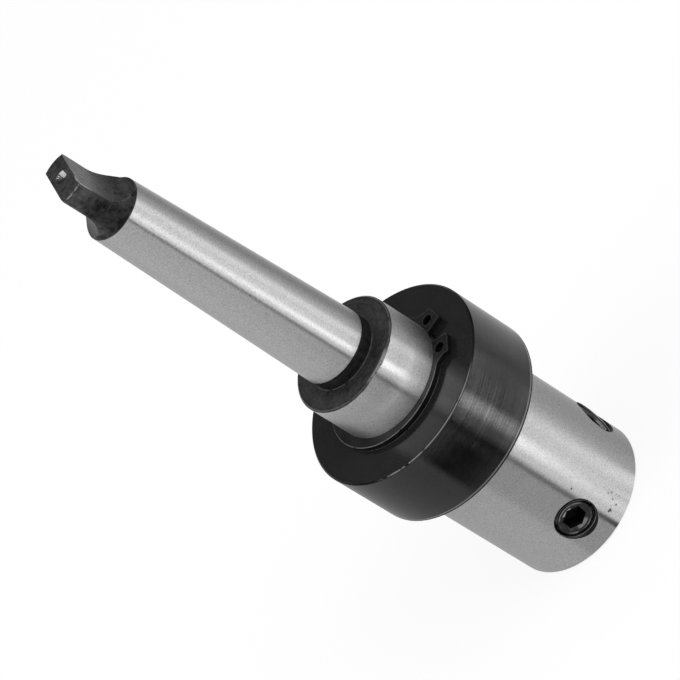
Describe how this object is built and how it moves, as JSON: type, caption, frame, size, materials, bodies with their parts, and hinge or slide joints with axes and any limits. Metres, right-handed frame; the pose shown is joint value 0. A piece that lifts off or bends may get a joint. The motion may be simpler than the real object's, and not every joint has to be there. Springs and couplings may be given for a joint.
{
  "type": "morse taper adapter",
  "caption": "Morse taper arbor with a socket for flatted-shank hollow cutters, clamp screws, a sprung ejector and a coolant ring that turns on its journal.",
  "frame": {"origin": "centre of the cutter socket's mouth face, on which the part stands", "axes": "+Z along the axis from the socket mouth to the tang; +X towards the first clamp screw, +Y towards the second"},
  "size_m": [0.0486, 0.0486, 0.1582],
  "materials": {
    "ground_steel": "cylindrically ground, blackened on the tang, neck and shoulder",
    "black_oxide_steel": "turned and black oxidised, satin",
    "seal_rubber": "moulded nitrile, matt",
    "spring_steel": "stamped spring steel, phosphated black",
    "turned_steel": "turned, bright",
    "spring_wire": "drawn wire, bright",
    "screw_steel": "black alloy steel"
  },
  "bodies": {
    "arbor": {"arbor_body": "ground_steel", "retaining_ring": "spring_steel", "inner_retaining_ring": "spring_steel", "ejector_spring": "spring_wire"},
    "coolant_ring": {"coolant_ring": "black_oxide_steel", "lower_seal": "seal_rubber", "upper_seal": "seal_rubber"},
    "ejector": {"ejector_plunger": "turned_steel"},
    "clamp_screw_1": {"clamp_screw_1": "screw_steel"},
    "clamp_screw_2": {"clamp_screw_2": "screw_steel"}
  },
  "joints": [
    {"name": "coolant_ring_spin", "type": "hinge", "parent": "arbor", "child": "coolant_ring", "pos_m": [0, 0, 0.0507], "axis": [0, 0, 1], "continuous": true},
    {"name": "ejector_travel", "type": "slide", "parent": "arbor", "child": "ejector", "axis": [0, 0, 1], "range_m": [0, 0.014], "stiffness_N_per_m": 1960, "springref_m": -0.006, "deforming": ["ejector_spring"]},
    {"name": "clamp_screw_1_travel", "type": "slide", "parent": "arbor", "child": "clamp_screw_1", "axis": [-1, 0, 0], "range_m": [-0.006, 0.0017]},
    {"name": "clamp_screw_2_travel", "type": "slide", "parent": "arbor", "child": "clamp_screw_2", "axis": [0, -1, 0], "range_m": [-0.006, 0.0017]}
  ]
}
